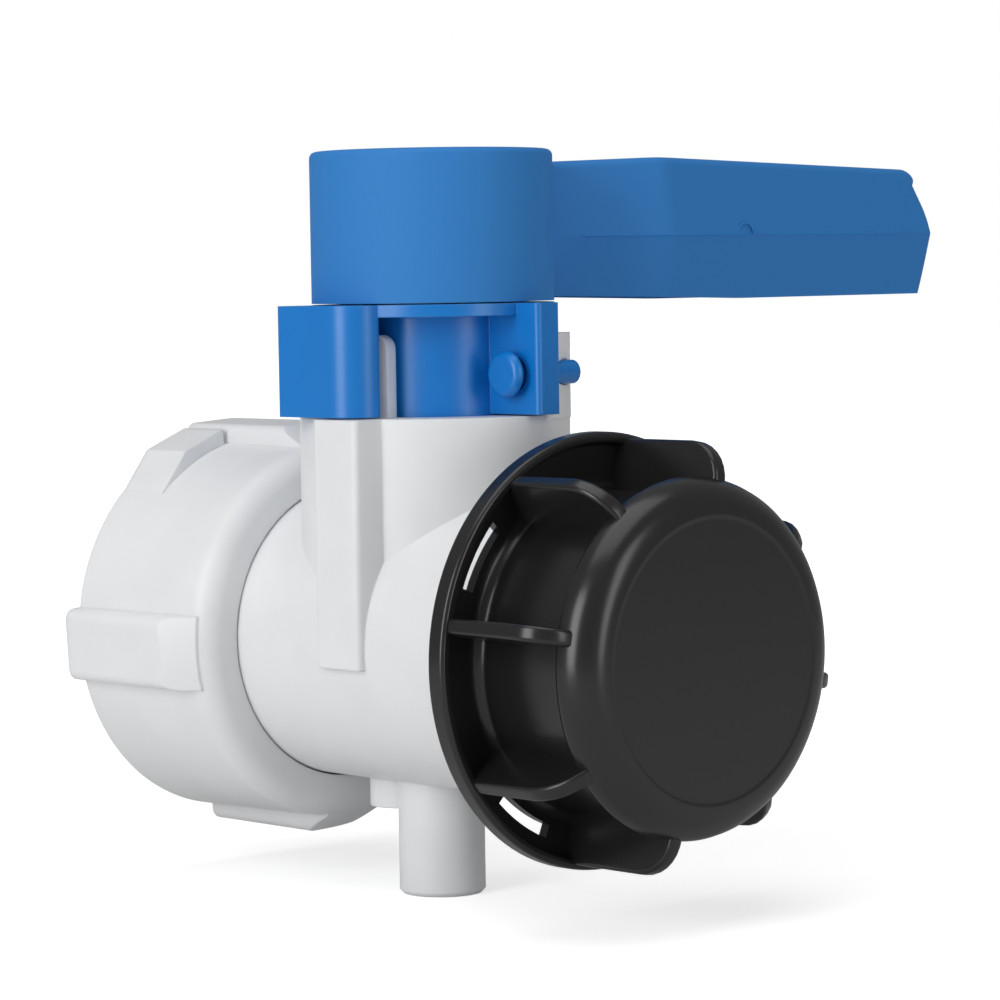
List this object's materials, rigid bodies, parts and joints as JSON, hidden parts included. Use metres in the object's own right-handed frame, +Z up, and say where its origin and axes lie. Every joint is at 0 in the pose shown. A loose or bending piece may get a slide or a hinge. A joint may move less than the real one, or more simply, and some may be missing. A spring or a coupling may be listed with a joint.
{
  "type": "ibc tank valve",
  "caption": "Plastic ball valve for a bulk liquid tank: union nut inlet, capped threaded outlet, stem with a long lever handle, lock collar and pull-out lock pin.",
  "frame": {"origin": "where the flow axis meets the stem axis, at the ball's centre", "axes": "+Y along the flow axis towards the tank, +Z up the stem, +X along the closed lever"},
  "size_m": [0.1971, 0.1563, 0.1596],
  "materials": {
    "body_white": "milky natural polyethylene, satin",
    "inner_white": "smooth moulded plastic",
    "seat_white": "waxy fluoropolymer",
    "ring_black": "moulded rubber",
    "gasket_grey": "flat moulded rubber",
    "handle_blue": "blue moulded plastic, fine grain",
    "screw_steel": "stainless",
    "cap_black": "black moulded plastic, half gloss"
  },
  "bodies": {
    "valve": {"valve_body": "body_white", "seat_ring_outlet": "seat_white", "seat_ring_inlet": "seat_white", "seat_o_ring_outlet": "ring_black", "seat_o_ring_inlet": "ring_black", "tail_piece": "body_white", "tail_o_ring": "ring_black", "tank_gasket": "gasket_grey", "lock_collar": "handle_blue"},
    "nut": {"union_nut": "body_white"},
    "lever": {"handle": "handle_blue", "handle_washer": "screw_steel", "handle_screw": "screw_steel", "stem": "inner_white", "stem_o_ring_lower": "ring_black", "stem_o_ring_upper": "ring_black", "thrust_washer": "seat_white", "ball": "inner_white"},
    "pin": {"lock_pin": "handle_blue"},
    "cap_seal": {"cap_gasket": "gasket_grey"},
    "cap": {"outlet_cap": "cap_black"}
  },
  "joints": [
    {"name": "lever_turn", "type": "hinge", "parent": "valve", "child": "lever", "pos_m": [0, 0, 0], "axis": [0, 0, 1], "range_deg": [-90, 0]},
    {"name": "nut_turn", "type": "hinge", "parent": "valve", "child": "nut", "pos_m": [0, 0.05, 0], "axis": [0, 1, 0], "continuous": true},
    {"name": "pin_pull", "type": "slide", "parent": "valve", "child": "pin", "axis": [-1, 0, 0], "range_m": [0, 0.03]},
    {"name": "cap_travel", "type": "slide", "parent": "valve", "child": "cap_seal", "axis": [0, -1, 0], "range_m": [0, 0.027]},
    {"name": "cap_turn", "type": "hinge", "parent": "cap_seal", "child": "cap", "pos_m": [0, -0.06, 0], "axis": [0, -1, 0], "range_deg": [0, 1620.1]}
  ],
  "couplings": [
    {"joint": "cap_turn", "follows": "cap_travel", "rad_per_m": 1047.2}
  ]
}
